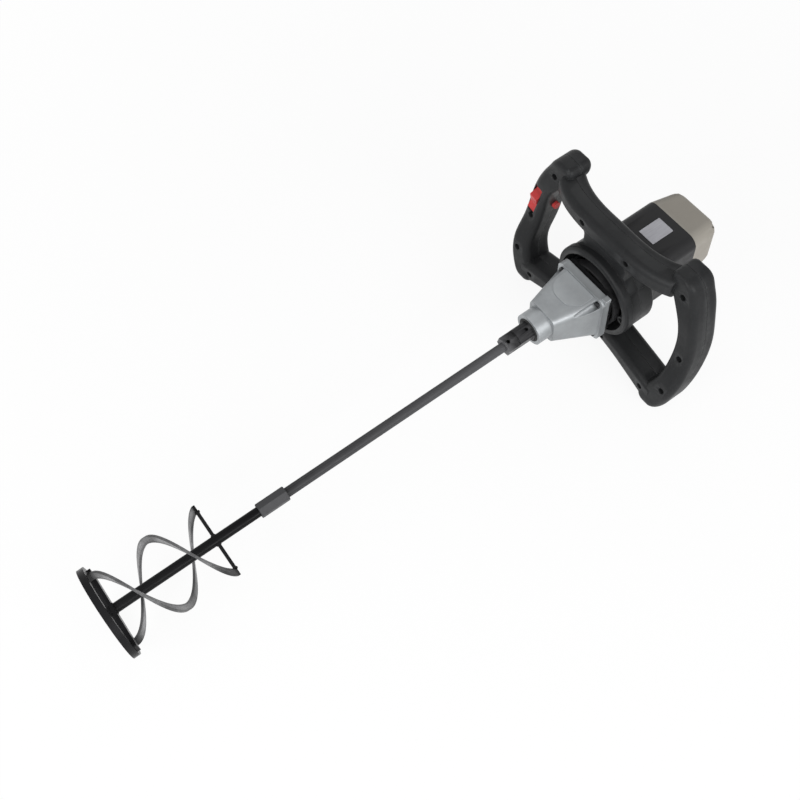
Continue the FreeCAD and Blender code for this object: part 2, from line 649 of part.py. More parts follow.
def frame_half(body, prefix, side):
    """The solid shared by a front or rear shell: web, grips, bottom bar and top beam."""
    depth = S.front_depth if side < 0 else S.rear_depth
    beam_depth = S.front_depth if side < 0 else S.beam_rear_depth
    web_start = S.parting - S.front_depth + S.web_inset if side < 0 else S.parting + S.seam
    web_end = S.parting - S.seam if side < 0 else S.drum_rear
    foot = S.web_half + 14
    foot_z = S.collar_radius * 0.6
    waist_z = S.collar_radius - 5
    top_z = S.beam_bottom + 1
    head_z = S.beam_bottom + 9
    pad_x(body, prefix + "_web", web_start, web_end - web_start, outline,
          [(foot, foot_z), (S.web_half, waist_z, 12), (S.web_half, top_z, 9), (foot, top_z),
           (foot, head_z), (-foot, head_z), (-foot, top_z), (-S.web_half, top_z, 9),
           (-S.web_half, waist_z, 12), (-foot, foot_z)])
    grip = grip_loft(body, prefix + "_grip", depth, side)
    mirror_y(body, [grip])
    bar_loft(body, prefix + "_bar", depth, side)
    beam_loft(body, prefix + "_beam", beam_depth, side)


def pair(y, z, radius):
    """Two circles on both sides of the middle."""
    return [(y, z, radius), (-as_size(y), z, radius)]


def trigger_box(half_y, half_z):
    """A rectangle in the trigger's tilted frame."""
    return box_corners(half_y, half_z, 1.5)


def tilted_cut(body, name, start, length, half_y, half_z):
    """A rectangular cut along X in the trigger's tilted frame."""
    cut_x(body, name, start, length, outline, trigger_box(half_y, half_z),
          across=S.trigger_y, up=S.trigger_z, turn=S.trigger_tilt)


def switch_well(body, name, start, length):
    """The switch block's space in a shell."""
    tilted_cut(body, name, start, length, S.switch_width / 2 + 1.5, S.switch_length / 2 + 1)


def button_bore(body, name):
    """The lock button's bore in a shell."""
    bore = sketch_on(body, "XZ_Plane", name, across=S.button_x, up=S.button_z, out=-S.button_face)
    circles(bore, [(0, 0, S.button_radius + S.fit)])
    feature(body, "Pocket", bore, S.button_length + S.button_travel + S.side_gap)


def front_shell():
    """Front half of the handle frame with the collar, the screw wells and the trigger's slot."""
    body = new_body("front_shell")
    step = S.collar_front + 12
    turned(body, "front_drum", [(S.collar_front, 0), (S.parting, 0),
                                (S.parting, S.collar_radius - 2), (step, S.collar_radius - 2),
                                (step, S.collar_radius), (S.collar_front, S.collar_radius, 4)])
    frame_half(body, "front", -1)
    cut_x(body, "front_drum_bore", S.collar_front - 1, S.parting - S.collar_front + 1, circles,
          [(0, 0, S.collar_inner)])
    for name, y, z, seat in FRAME_SCREWS:
        if name == "collar":
            for side in (1, -1):
                pad_x(body, f"collar_boss_{'left' if side > 0 else 'right'}", S.collar_front + 4,
                      S.parting - S.collar_front - 4, circles, [(y * side, z, S.boss_radius)])
        cut_x(body, f"{name}_screw_well", WELL_START, as_size(seat) - WELL_START, circles,
              pair(y, z, S.screw_well_radius))
        cut_x(body, f"{name}_screw_hole", as_size(seat), as_size(30), circles,
              pair(y, z, S.screw_radius + 0.2))
    slot_back = S.switch_front + 1
    tilted_cut(body, "trigger_slot", WELL_START, slot_back - WELL_START,
               S.trigger_width / 2 + S.side_gap, S.trigger_length / 2 + S.side_gap * 2)
    switch_well(body, "front_switch_well", slot_back, S.switch_depth)
    button_bore(body, "front_button_bore")
    pin = body.newObject("PartDesign::SubtractiveCylinder", "pin_seat")
    bind(pin, "Radius", S.pin_radius)
    bind(pin, "Height", PIN_LENGTH)
    pin.Placement = trigger_pin_place()


def trigger_frame():
    """Placement of the trigger's tilted frame at its middle on the spindle-side origin."""
    base = Vector(0, S.trigger_y.value, S.trigger_z.value)
    return Placement(base, Rotation(Vector(1, 0, 0), S.trigger_tilt.value))


PIVOT_X = S.trigger_back - 3
PIVOT_UP = S.trigger_length / 2 - 5
PIN_LENGTH = S.trigger_width + 3


def trigger_pin_place():
    """Placement of the pivot pin, which lies across the trigger near its lower end."""
    start = Vector(PIVOT_X.value, -PIN_LENGTH.value / 2, -PIVOT_UP.value)
    along_y = Placement(start, Rotation(Vector(1, 0, 0), -90))
    return trigger_frame().multiply(along_y)


def rear_shell():
    """Rear half of the handle frame with the motor opening and the cord inlet's seat."""
    body = new_body("rear_shell")
    turned(body, "rear_drum", [(S.parting, 0), (S.drum_rear, 0), (S.drum_rear, S.collar_radius - 2, 4),
                               (S.parting, S.collar_radius - 2)])
    frame_half(body, "rear", 1)
    cut_x(body, "rear_drum_bore", S.parting, S.drum_rear - S.drum_wall - S.parting, circles,
          [(0, 0, S.collar_inner)])
    cut_x(body, "motor_opening", S.parting, S.drum_rear - S.parting, circles,
          [(0, 0, S.tube_radius + S.fit)])
    for name, y, z, seat in FRAME_SCREWS:
        if name == "collar":
            pad_x(body, "rear_bosses", S.parting + S.seam, S.drum_rear - S.parting - 1, circles,
                  pair(y, z, S.boss_radius))
    taken = grip_loft(body, "front_grip_room", S.front_depth, -1, S.gap)
    mirror_y(body, [taken])
    bar_loft(body, "front_bar_room", S.front_depth, -1, S.gap)
    beam_loft(body, "front_beam_room", S.front_depth, -1, S.gap)
    drum_room = S.collar_radius - 2 + S.gap
    turned(body, "front_drum_room", [(S.collar_front, 0), (S.parting, 0), (S.parting, drum_room),
                                     (S.collar_front, drum_room)], kind="Groove")
    for name, y, z, seat in FRAME_SCREWS:
        cut_x(body, f"{name}_pilot_hole", as_size(seat), S.screw_length, circles,
              pair(y, z, S.screw_radius))
    switch_well(body, "rear_switch_well", S.switch_front - 5, S.switch_depth + 6)
    button_bore(body, "rear_button_bore")
    cut_x(body, "inlet_seat", INLET_FRONT, S.rear_depth * 2, circles,
          [(S.inlet_y, S.inlet_z, S.inlet_radius)])


INLET_FRONT = S.grip_parting + 11


def cord_inlet():
    """Rubber gland for the mains cord at the back of the trigger grip's upper end."""
    horn_rear = S.grip_parting + 2.8 + S.rear_depth - INLET_FRONT
    lathe("cord_inlet", INLET_FRONT,
          [(0, 4), (horn_rear + 7, 4), (horn_rear + 7, 7.5), (horn_rear + 0.3, 10),
           (horn_rear + 0.3, S.inlet_radius - S.fit), (0, S.inlet_radius - S.fit)], y=S.inlet_y, z=S.inlet_z)


def trigger():
    """Red wedge trigger on the front of the grip, turning on a pin near its lower end."""
    body = new_body("trigger")
    profile = sketch_on(body, "XZ_Plane", "trigger_profile", out=-S.trigger_width / 2)
    top = S.trigger_length / 2
    tip = S.trigger_tip
    outline(profile, [(S.trigger_back, -top), (S.trigger_back, top - 1), (tip + 14, top - 6, 1.5),
                      (tip + 10, top - 12, 3), (tip, top - 18, 1.5), (tip + 6, -top + 13, 10),
                      (tip + 3.5, -top)])
    feature(body, "Pad", profile, S.trigger_width)
    pivot = sketch_on(body, "XZ_Plane", "trigger_pivot", across=PIVOT_X, up=-PIVOT_UP,
                      out=-S.trigger_width / 2 - 1)
    circles(pivot, [(0, 0, S.pin_radius + S.fit)])
    feature(body, "Pocket", pivot, S.trigger_width + 2, backward=True)
    place(body, 0, S.trigger_y, S.trigger_z, S.trigger_tilt)
    pin = doc.addObject("Part::Cylinder", "trigger_pin")
    pin.Label = "trigger_pin"
    bind(pin, "Radius", S.pin_radius)
    bind(pin, "Height", PIN_LENGTH)
    pin.Placement = trigger_pin_place()
    SUB_PARTS.append(pin)


def lock_button():
    """Red lock-on button in the grip's inner side."""
    body = new_body("lock_button")
    face = sketch_on(body, "XZ_Plane", "button_disc", out=-S.button_face)
    circles(face, [(0, 0, S.button_radius)])
    feature(body, "Pad", face, S.button_length, backward=True)
    place(body, S.button_x, 0, S.button_z)


def switch_module():
    """Switch block behind the trigger."""
    body = new_body("switch_module")
    pad_x(body, "switch_block", S.switch_front, S.switch_depth, outline,
          trigger_box(S.switch_width / 2, S.switch_length / 2))
    place(body, 0, S.trigger_y, S.trigger_z, S.trigger_tilt)


def motor_housing():
    """Motor case: round front tube with air windows, then a square body with rounded corners."""
    body = new_body("motor_housing")
    pad_x(body, "motor_tube", PLATE_REAR, S.drum_rear - PLATE_REAR, circles, [(0, 0, S.tube_radius)])
    pad_x(body, "motor_square", S.drum_rear, S.motor_rear - S.drum_rear, outline,
          box_corners(S.motor_half, S.motor_half, S.motor_corner))
    cut_x(body, "stator_bore", PLATE_REAR, S.motor_rear - PLATE_REAR, circles, [(0, 0, S.stator_radius)])
    cut_x(body, "fan_chamber", PLATE_REAR, S.fan_front + S.fan_width + 4 - PLATE_REAR, circles,
          [(0, 0, S.tube_radius - S.tube_wall)])
    window = cut_x(body, "air_window", S.fan_front, S.fan_width, outline,
                   box_corners(S.tube_wall * 2, 9, 1), across=S.tube_radius)
    repeat_round(body, window, as_size(8))
    cut_x(body, "cap_screw_pilots", S.motor_rear - 16, as_size(16), circles,
          corner_spots(S.motor_half - S.motor_corner + 2.5, S.screw_radius))


def motor_cap():
    """Tapered square end cap with the rear bearing seat, air slots and screw wells."""
    body = new_body("motor_cap")
    taper = S.motor_half - S.cap_end_half
    straight = S.cap_length - S.cap_rounding
    rows = [(0, S.motor_half, S.motor_corner), (straight / 2, S.motor_half - taper / 2, S.motor_corner)]
    for degrees in (0, 30, 60, 90):
        sine = math.sin(math.radians(degrees))
        inset = S.cap_rounding * (1 - math.cos(math.radians(degrees)))
        rows.append((straight + S.cap_rounding * sine, S.cap_end_half - inset,
                     S.motor_corner - inset * 0.5))
    sections = []
    for number, (along, half, rounding) in enumerate(rows):
        sketch = sketch_on(body, "YZ_Plane", f"cap_section_{number}", out=S.motor_rear + along)
        outline(sketch, box_corners(half, half, rounding))
        sections.append(sketch)
    loft_through(body, "cap_taper", sections).Ruled = True
    cut_x(body, "cap_cavity", S.motor_rear, S.cap_cavity_depth, circles, [(0, 0, S.cap_end_half - 5)])
    seat = S.motor_rear + S.cap_cavity_depth
    cut_x(body, "rear_bearing_seat", seat, S.bearing_width, circles, [(0, 0, S.armature_bearing_radius)])
    cut_x(body, "cap_screw_wells", S.motor_rear + 10, S.cap_length, circles,
          corner_spots(S.motor_half - S.motor_corner + 2.5, S.screw_head_radius + 0.2))
    cut_x(body, "cap_screw_holes", S.motor_rear, as_size(10), circles,
          corner_spots(S.motor_half - S.motor_corner + 2.5, S.screw_radius + 0.2))
    slot = cut_x(body, "air_slot", seat, S.cap_length, outline, box_corners(7, 1.8, 1.5), across=23)
    repeat_round(body, slot, as_size(12))


def stator():
    """Laminated field with two slots for the field coils."""
    body = new_body("stator")
    pad_x(body, "stator_stack", S.stator_front, S.stator_length, circles,
          [(0, 0, S.stator_radius - S.fit), (0, 0, S.stator_bore)])
    for name, side in (("left", 1), ("right", -1)):
        middle = (S.stator_bore + 5) * side
        cut_x(body, f"{name}_coil_slot", S.stator_front, S.stator_length, outline,
              box_corners(3.2, 12.2), across=middle)
        coil = new_body(f"field_coil_{name}")
        pad_x(coil, f"{name}_coil", S.stator_front - 6, S.stator_length + 12, outline,
              box_corners(3, 12, 2), across=middle)


def armature():
    """Armature: shaft with cut pinion, rotor stack, commutator and cooling fan."""
    rear = S.motor_rear + S.cap_cavity_depth + S.bearing_width
    shaft_front = S.motor_pinion_x + S.motor_pinion_width
    length = rear - shaft_front
    lathe("armature_shaft", shaft_front, [(0, 0), (length, 0), (length, S.shaft_radius),
                                          (0, S.shaft_radius)])
    gear("motor_pinion", S.motor_pinion_x, S.motor_pinion_width, S.motor_teeth, as_size(0),
         as_size(180) - IDLER_SWING)
    core = new_body("rotor_core")
    pad_x(core, "rotor_stack", S.stator_front + 2, S.stator_length - 4, circles,
          [(0, 0, S.rotor_radius), (0, 0, S.shaft_radius)])
    groove = cut_x(core, "rotor_slot", S.stator_front + 2, S.stator_length - 4, outline,
                   box_corners(5, 1.5), across=S.rotor_radius - 3)
    repeat_round(core, groove, as_size(12))
    ring("commutator", S.commutator_front, S.commutator_length, S.commutator_radius, S.shaft_radius)
    fan = new_body("cooling_fan")
    turned(fan, "fan_disc", [(0, S.shaft_radius), (S.fan_width, S.shaft_radius), (S.fan_width, 12),
                             (3, 12), (3, S.fan_radius), (0, S.fan_radius)])
    half_blade = (S.fan_radius - 12) / 2
    blade = pad_x(fan, "fan_blade", as_size(2), S.fan_width - 2, outline,
                  box_corners(half_blade, 1), across=half_blade + 11)
    repeat_round(fan, blade, as_size(9))
    place(fan, S.fan_front)


def brushes():
    """Two brush holders with carbon brushes on the commutator."""
    middle = S.commutator_front + S.commutator_length / 2
    for name, side in (("left", 1), ("right", -1)):
        inner = (S.commutator_radius + 2) * side
        reach = S.stator_radius - S.commutator_radius - 2.8
        holder = new_body(f"brush_holder_{name}")
        brush = new_body(f"carbon_brush_{name}")
        sketch = sketch_on(holder, "XZ_Plane", f"{name}_holder", across=middle, out=-inner)
        outline(sketch, box_corners(6, 5))
        feature(holder, "Pad", sketch, reach, backward=side > 0)
        hollow = sketch_on(holder, "XZ_Plane", f"{name}_hollow", across=middle, out=-inner)
        outline(hollow, box_corners(4.1, 3.1))
        feature(holder, "Pocket", hollow, reach - 2, backward=side < 0)
        face = sketch_on(brush, "XZ_Plane", f"{name}_brush", across=middle,
                         out=-(S.commutator_radius + S.gap) * side)
        outline(face, box_corners(4, 3))
        feature(brush, "Pad", face, as_size(16), backward=side > 0)


def bearings():
    """Ball bearings as plain rings and the black seal in the neck."""
    width = S.bearing_width
    ring("spindle_front_bearing", S.front_bearing_x, width, S.spindle_bearing_radius,
         S.journal_radius + S.fit)
    ring("spindle_rear_bearing", S.rear_bearing_x, width, S.rear_spindle_bearing_radius,
         S.journal_radius + S.fit)
    ring("armature_front_bearing", S.flange_rear, width, S.armature_bearing_radius,
         S.shaft_radius + S.fit)
    ring("armature_rear_bearing", S.motor_rear + S.cap_cavity_depth, width, S.armature_bearing_radius,
         S.shaft_radius + S.fit)
    ring("nose_seal", as_size(-0.8), as_size(5), SEAL_RADIUS, S.spindle_radius + S.gap)


def rating_plate():
    """Bare metal plate on top of the motor case."""
    body = new_body("rating_plate")
    sketch = sketch_on(body, "XY_Plane", "plate_outline_top", across=S.label_centre, out=S.motor_half)
    outline(sketch, box_corners(S.plate_label_length / 2, S.plate_label_width / 2, 1))
    feature(body, "Pad", sketch, S.label_thickness)


def x_cylinder(name, start, y, z, radius, length):
    """A cylinder along X."""
    made = doc.addObject("Part::Cylinder", name)
    made.Placement = Placement(Vector(), Rotation(Vector(0, 1, 0), 90))
    for axis, number in (("x", start), ("y", y), ("z", z)):
        bind(made, f"Placement.Base.{axis}", number)
    bind(made, "Radius", radius)
    bind(made, "Height", length)
    return made


def screws(label, spots, length, head_first=True):
    """A group of separate screws, each a head on its seat and a shank along X."""
    group = []
    head = as_size(3)
    for number, (y, z, seat) in enumerate(spots):
        seat = as_size(seat)
        head_start = seat - head if head_first else seat
        shank_start = seat if head_first else seat - length
        parts = [x_cylinder(f"{label}_head_{number}", head_start, y, z, S.screw_head_radius, head),
                 x_cylinder(f"{label}_shank_{number}", shank_start, y, z, S.screw_radius, length)]
        screw = doc.addObject("Part::MultiFuse", f"{label}_{number}")
        screw.Shapes = parts
        group.append(screw)
    made = doc.addObject("Part::Compound", label)
    made.Label = label
    made.Links = group
    SUB_PARTS.append(made)


def all_screws():
    """Frame, gear case and motor cap screws."""
    frame_spots = [(y * side, z, seat) for _, y, z, seat in FRAME_SCREWS for side in (1, -1)]
    screws("frame_screws", frame_spots, S.screw_length - 0.5)
    case_spots = [(y, z, S.flange_front) for y, z, _ in corner_spots(S.gear_screw_offset, 0)]
    screws("gearbox_screws", case_spots, PLATE_REAR - S.flange_front - 1)
    cap_spot = S.motor_half - S.motor_corner + 2.5
    cap_spots = [(y, z, S.motor_rear + 10) for y, z, _ in corner_spots(cap_spot, 0)]
    screws("cap_screws", cap_spots, as_size(24), head_first=False)


# Pieces on the spindle's axis; all others are drawn about the motor's axis
SPINDLE_PIECES = ("output_spindle", "output_gear", "paddle_nut", "upper_rod", "hex_coupling", "lower_rod",
                  "paddle_arm_a", "paddle_arm_b", "paddle_blade_a", "paddle_blade_b", "bottom_ring",
                  "ring_cross_bar", "spindle_front_bearing", "spindle_rear_bearing", "nose_seal")


def main():
    """Build every sub-part, test the document and write one file for each sub-part."""
    gearbox_housing()
    bearing_plate()
    gear_train()
    spindle()
    paddle_stud()
    paddle_rods()
    for label, turn in (("a", 0), ("b", 180)):
        paddle_arm(f"paddle_arm_{label}", turn)
        paddle_blade(f"paddle_blade_{label}", turn)
    paddle_foot()
    front_shell()
    rear_shell()
    cord_inlet()
    trigger()
    lock_button()
    switch_module()
    motor_housing()
    motor_cap()
    stator()
    armature()
    brushes()
    bearings()
    rating_plate()
    all_screws()
    for thing in SUB_PARTS:
        if thing.Label not in SPINDLE_PIECES:
            lower(thing)
    doc.recompute()
    for thing in doc.Objects:
        if "Invalid" in thing.State or "Error" in thing.State:
            raise RuntimeError(f"{thing.Name} failed: {thing.State}")
    os.makedirs("parts", exist_ok=True)
    for thing in SUB_PARTS:
        if thing.Shape.isNull() or not thing.Shape.isValid():
            raise RuntimeError(f"{thing.Label} has no valid shape")
        thing.Shape.exportStep(f"parts/{thing.Label}.step")
        print(thing.Label, len(thing.Shape.Solids), round(thing.Shape.Volume / 1000, 2), "cm3")


main()
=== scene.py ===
"""Studio picture of a mixing drill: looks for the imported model, in metres in its own frame."""
import math

import bpy
from mathutils import Matrix, Vector


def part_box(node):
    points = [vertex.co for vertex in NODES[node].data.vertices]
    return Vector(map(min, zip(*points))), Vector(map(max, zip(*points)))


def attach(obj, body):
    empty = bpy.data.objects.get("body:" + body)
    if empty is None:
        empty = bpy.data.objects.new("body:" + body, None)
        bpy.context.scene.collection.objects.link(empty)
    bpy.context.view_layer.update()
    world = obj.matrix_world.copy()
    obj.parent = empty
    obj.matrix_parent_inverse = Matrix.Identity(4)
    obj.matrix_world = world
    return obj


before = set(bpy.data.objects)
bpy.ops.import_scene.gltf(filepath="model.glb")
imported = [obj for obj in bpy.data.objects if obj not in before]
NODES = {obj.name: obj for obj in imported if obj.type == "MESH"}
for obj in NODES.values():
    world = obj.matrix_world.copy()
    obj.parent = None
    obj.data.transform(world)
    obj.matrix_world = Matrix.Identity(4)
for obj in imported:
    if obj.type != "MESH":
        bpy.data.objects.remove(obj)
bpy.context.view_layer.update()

SCENE = bpy.context.scene
SCENE.view_settings.view_transform = "Standard"

LENGTHWISE = Vector((1, 0, 0))  # along the paddle's axis

# Radius that the shading gives to sharp edges: most pieces, and the thick shells of the frame.
EDGE_ROUNDING = 0.0006
SHELL_ROUNDING = 0.0014

PLASTIC_GRAIN = 0.00003  # depth of the moulded grain
SMOOTH_GRAIN = 0.00001
PLASTIC_SHINE = 0.12     # specular level; the white surround needs it low

# How far from a strap's end its lacquer starts to fade, and where it is gone.
STRAP_TOP_FADE = (0.001, 0.010)
STRAP_FOOT_FADE = (0.006, 0.022)

# Weld beads: radii, the pools they are laid in, and the steps along and around them.
ROD_BEAD = 0.0014
ARM_ROOT_BEAD = 0.0012
ARM_END_BEAD = 0.0013
FOOT_BEAD = 0.0013
POOL_PITCH = 0.0011
POOL_RIPPLE = 0.12
BEAD_TIP = 0.06        # square of the relative radius at a bead's very ends
BEAD_BLUNTNESS = 8     # the higher, the shorter the taper to the ends
BEAD_SIDES = 10
ROD_STEPS = 150
ARM_STEPS = 40
FOOT_STEPS = 44
ROOT_LIMIT = 0.95      # sine of the widest half angle of a bead on the rod
FOOT_SPREAD = 0.11     # half angle of a bead on the ring
FOOT_DEPTH = 0.003     # a strap's points this near the ring's top make its foot
RIM_DEPTH = 0.001      # and those this near the outermost one make its outer face

# Studio: strength of the white surround as a light, and where it is seen.
AMBIENT = 0.38
WHITE = 1.0
FLOOR_HALF = 6.0
FLOOR_GAP = 0.0005     # the floor lies this far below the frame
FRAME_REST_X = 0.119   # where the lower edge of the frame rests
PAPER_GLOW = 0.9       # share of plain white in the floor near the tool; the rest takes shadow
PAPER_FADE = (0.5, 1.5)  # distances from the frame over which the floor turns plain white

# Name, place, edge and power in watts of each square lamp.
LAMPS = [
    ("key", (0.2, -2.6, 1.2), 1.8, 54),
    ("front", (-2.3, -0.5, 1.1), 2.0, 46),
    ("back", (1.6, 1.6, 1.8), 2.0, 8),
]
LAMP_AIM = Vector((-0.15, 0, 0))

SENSOR_WIDTH = 36.0    # millimetres, as is the lens
LENS = 49.5
CLIP_END = 100
CAMERA_PLACE = (-0.49858, -0.53473, 1.16020)
CAMERA_RIGHT = Vector((0.80746, -0.58680, -0.06058))
CAMERA_UP = Vector((0.53984, 0.69360, 0.47697))


class Shader:
    """A material under construction: short calls for the nodes it needs."""

    def __init__(self, name):
        self.material = bpy.data.materials.new(name)
        self.material.use_nodes = True
        self.tree = self.material.node_tree
        self.bsdf = self.tree.nodes["Principled BSDF"]
        self.place = self.tree.nodes.new("ShaderNodeTexCoord").outputs["Object"]

    def node(self, kind, **values):
        made = self.tree.nodes.new(kind)
        for key, value in values.items():
            setattr(made, key, value)
        return made

    def link(self, source, target):
        self.tree.links.new(source, target)

    def feed(self, value, socket):
        """Give a socket a link, a plain colour or a number."""
        if hasattr(value, "is_linked"):
            self.link(value, socket)
        else:
            socket.default_value = (*value, 1) if isinstance(value, tuple) else value

    def noise(self, scale, detail=4.0, roughness=0.55, stretch=None):
        """Noise over the object; scale is in cells per metre."""
        made = self.node("ShaderNodeTexNoise")
        made.inputs["Scale"].default_value = scale
        made.inputs["Detail"].default_value = detail
        made.inputs["Roughness"].default_value = roughness
        place = self.place
        if stretch:
            mapping = self.node("ShaderNodeMapping")
            mapping.inputs["Scale"].default_value = stretch
            self.link(place, mapping.inputs["Vector"])
            place = mapping.outputs["Vector"]
        self.link(place, made.inputs["Vector"])
        return made.outputs["Fac"]

    def bands(self, direction, scale, distortion):
        """Bands square to one axis of the object."""
        made = self.node("ShaderNodeTexWave", wave_type="BANDS", bands_direction=direction)
        made.inputs["Scale"].default_value = scale
        made.inputs["Distortion"].default_value = distortion
        self.link(self.place, made.inputs["Vector"])
        return made.outputs["Fac"]

    def ramp(self, source, dark, light, low=0.3, high=0.7):
        """Go from one colour to another as a grey value goes from low to high."""
        made = self.node("ShaderNodeValToRGB")
        stops = ((low, dark), (high, light))
        for element, (position, colour) in zip(made.color_ramp.elements, stops):
            element.position = position
            element.color = (*colour, 1)
        self.link(source, made.inputs["Fac"])
        return made.outputs["Color"]

    def span(self, source, low, high, source_low=0.3, source_high=0.7):
        """Map a grey value to a range."""
        made = self.node("ShaderNodeMapRange")
        made.inputs["From Min"].default_value = source_low
        made.inputs["From Max"].default_value = source_high
        made.inputs["To Min"].default_value = low
        made.inputs["To Max"].default_value = high
        self.link(source, made.inputs["Value"])
        return made.outputs["Result"]

    def mix(self, factor, first, second):
        """Mix two colours; each is a socket or a plain colour."""
        made = self.node("ShaderNodeMix", data_type="RGBA")
        for value, index in ((factor, 0), (first, 6), (second, 7)):
            self.feed(value, made.inputs[index])
        return made.outputs[2]

    def combine(self, operation, first, second):
        """One value from two, by a mathematical operation."""
        made = self.node("ShaderNodeMath", operation=operation)
        self.link(first, made.inputs[0])
        self.link(second, made.inputs[1])
        return made.outputs[0]

    def worn_edges(self, low=0.515, high=0.58):
        """A mask that is white on outward edges."""
        pointiness = self.node("ShaderNodeNewGeometry").outputs["Pointiness"]
        return self.span(pointiness, 0.0, 1.0, low, high)

    def bump(self, layers, rounding=EDGE_ROUNDING):
        """Bump from (height socket, depth in metres) layers over softly rounded edges."""
        bevel = self.node("ShaderNodeBevel", samples=4)
        bevel.inputs["Radius"].default_value = rounding
        normal = bevel.outputs["Normal"]
        for height, depth in layers:
            made = self.node("ShaderNodeBump")
            made.inputs["Strength"].default_value = 1.0
            made.inputs["Distance"].default_value = depth
            self.link(height, made.inputs["Height"])
            self.link(normal, made.inputs["Normal"])
            normal = made.outputs["Normal"]
        self.link(normal, self.bsdf.inputs["Normal"])

    def set(self, **sockets):
        for key, value in sockets.items():
            self.feed(value, self.bsdf.inputs[key.replace("_", " ")])
        return self.material


def grey(level):
    return (level, level, level)


def moulded_plastic(name, dark, light, edge, roughness, grain=PLASTIC_GRAIN,
                    rounding=EDGE_ROUNDING):
    """Injection-moulded plastic: spark-eroded grain, slow tone drift and polished edges."""
    s = Shader(name)
    tone = s.ramp(s.noise(28, 3), dark, light)
    dust = s.span(s.noise(420, 5), 0.0, 0.35, 0.55, 0.8)
    colour = s.mix(dust, tone, edge)
    colour = s.mix(s.worn_edges(), colour, edge)
    s.bump([(s.noise(2600, 2), grain), (s.noise(60, 2), grain * 2)], rounding)
    rough = s.span(s.noise(90, 4), roughness - 0.05, roughness + 0.07)
    return s.set(Base_Color=colour, Roughness=rough, Specular_IOR_Level=PLASTIC_SHINE)


def cast_metal(name, dark, light, roughness):
    """Blasted die casting: fine pits, soft tone patches and brighter rubbed edges."""
    s = Shader(name)
    tone = s.ramp(s.noise(45, 5), dark, light)
    pits = s.span(s.noise(1500, 3), 0.0, 0.5, 0.62, 0.75)
    colour = s.mix(pits, tone, tuple(c * 0.72 for c in dark))
    colour = s.mix(s.worn_edges(), colour, tuple(min(1, c * 1.15) for c in light))
    s.bump([(s.noise(1300, 4), 0.00007), (s.noise(140, 2), 0.00012)])
    rough = s.span(s.noise(200, 4), roughness - 0.06, roughness + 0.08)
    return s.set(Base_Color=colour, Roughness=rough, Metallic=0.55, Specular_IOR_Level=0.4)


def machined_metal(name, dark, light, roughness, stretch, metallic=1.0):
    """Turned or drawn metal: fine lines along one direction."""
    s = Shader(name)
    lines = s.noise(700, 3, stretch=stretch)
    tone = s.ramp(lines, dark, light, 0.25, 0.75)
    stain = s.span(s.noise(35, 5), 0.0, 0.4, 0.5, 0.75)
    s.bump([(lines, 0.00002)])
    rough = s.span(s.noise(120, 4), roughness - 0.05, roughness + 0.1)
    return s.set(Base_Color=s.mix(stain, tone, dark), Roughness=rough, Metallic=metallic)


def coated_steel(name, dark, light, edge, roughness, shine=0.1):
    """Black lacquer on steel: a slightly rippled coat, rubbed thin on edges."""
    s = Shader(name)
    tone = s.ramp(s.noise(60, 4), dark, light)
    scuffs = s.span(s.noise(300, 6, 0.7), 0.0, 0.5, 0.6, 0.78)
    colour = s.mix(scuffs, tone, edge)
    colour = s.mix(s.worn_edges(0.53, 0.62), colour, edge)
    s.bump([(s.noise(260, 2), 0.00006), (s.noise(1800, 2), 0.00001)])
    rough = s.span(s.noise(150, 5), roughness - 0.07, roughness + 0.1)
    return s.set(Base_Color=colour, Roughness=rough, Specular_IOR_Level=shine)


def rubbed_strap(name):
    """Lacquered strap scoured by the mix: bright along the flats, dark and dull at its ends."""
    s = Shader(name)
    scoured = s.span(s.noise(16, 3), 0.0, 1.0, 0.34, 0.6)
    bright = s.ramp(s.noise(900, 4), (0.24, 0.24, 0.245), (0.40, 0.40, 0.405))
    dark = s.ramp(s.noise(300, 5), (0.028, 0.028, 0.029), (0.085, 0.085, 0.088), 0.35, 0.75)
    colour = s.mix(scoured, dark, bright)
    colour = s.mix(s.worn_edges(0.52, 0.62), colour, (0.03, 0.03, 0.031))
    low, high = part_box("paddle_blade_a")
    axes = s.node("ShaderNodeSeparateXYZ")
    s.link(s.place, axes.inputs[0])
    along = axes.outputs["X"]
    top = s.span(along, 1.0, 0.0, *(high.x - fade for fade in STRAP_TOP_FADE))
    foot = s.span(along, 1.0, 0.0, *(low.x + fade for fade in STRAP_FOOT_FADE))
    ends = s.combine("MAXIMUM", top, foot)
    colour = s.mix(ends, colour, (0.012, 0.012, 0.0125))
    s.bump([(s.noise(900, 3), 0.00003), (s.noise(120, 2), 0.00008)])
    rough = s.span(s.noise(120, 4), 0.34, 0.5)
    metal = s.span(ends, 0.35, 0.0, 0.0, 1.0)
    shine = s.span(ends, 0.2, 0.03, 0.0, 1.0)
    return s.set(Base_Color=colour, Roughness=rough, Metallic=metal, Specular_IOR_Level=shine)


def wound_copper(name):
    """Enamelled wire laid side by side along X."""
    s = Shader(name)
    wires = s.bands("Z", 190, 0.8)
    tone = s.ramp(wires, (0.18, 0.07, 0.025), (0.55, 0.24, 0.09), 0.2, 0.8)
    s.bump([(wires, 0.0003)])
    return s.set(Base_Color=tone, Roughness=s.span(s.noise(90), 0.25, 0.42), Metallic=0.8)


def laminated_steel(name):
    """Stacked sheets across X with bare bright edges."""
    s = Shader(name)
    sheets = s.bands("X", 320, 0.4)
    tone = s.ramp(sheets, (0.12, 0.12, 0.13), (0.42, 0.42, 0.44), 0.15, 0.6)
    s.bump([(sheets, 0.0001)])
    return s.set(Base_Color=tone, Roughness=s.span(s.noise(150), 0.35, 0.55), Metallic=0.9)


